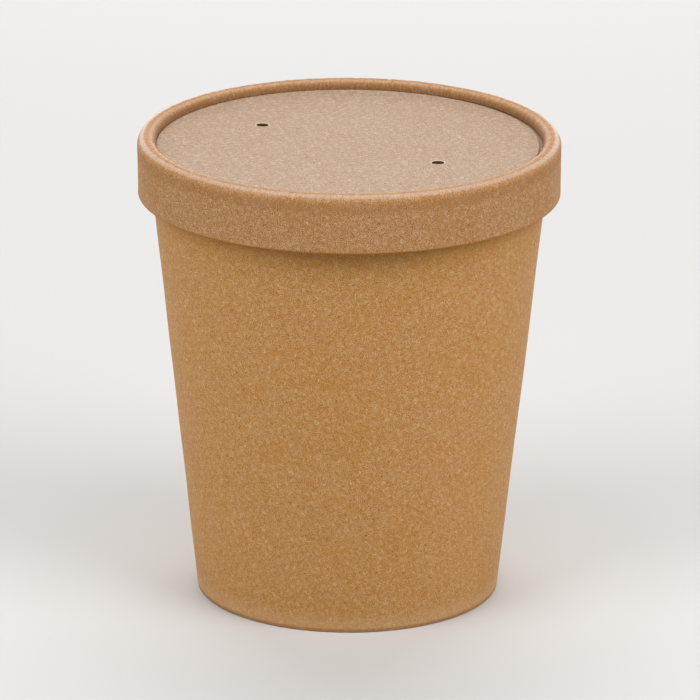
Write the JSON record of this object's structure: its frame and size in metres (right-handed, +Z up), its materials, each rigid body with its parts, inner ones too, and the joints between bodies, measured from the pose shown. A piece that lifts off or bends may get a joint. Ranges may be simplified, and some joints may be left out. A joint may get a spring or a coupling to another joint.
{
  "type": "takeaway soup container",
  "caption": "Tapered round kraft board soup container, shut, with a sunk board lid that has a rolled bead, a deep skirt and small steam vents.",
  "frame": {"origin": "centre of the foot, on the surface that the container stands on", "axes": "+Z up along the container's axis, -Y towards the side that the picture shows, +X to the right there"},
  "size_m": [0.12, 0.12, 0.1342],
  "materials": {
    "wall_board": "matte",
    "base_board": "matte",
    "ring_board": "matte",
    "disc_board": "matte"
  },
  "bodies": {
    "root": {"cup": "wall_board", "cup_base": "base_board", "lid_ring": "ring_board", "lid_disc": "disc_board"}
  },
  "joints": []
}
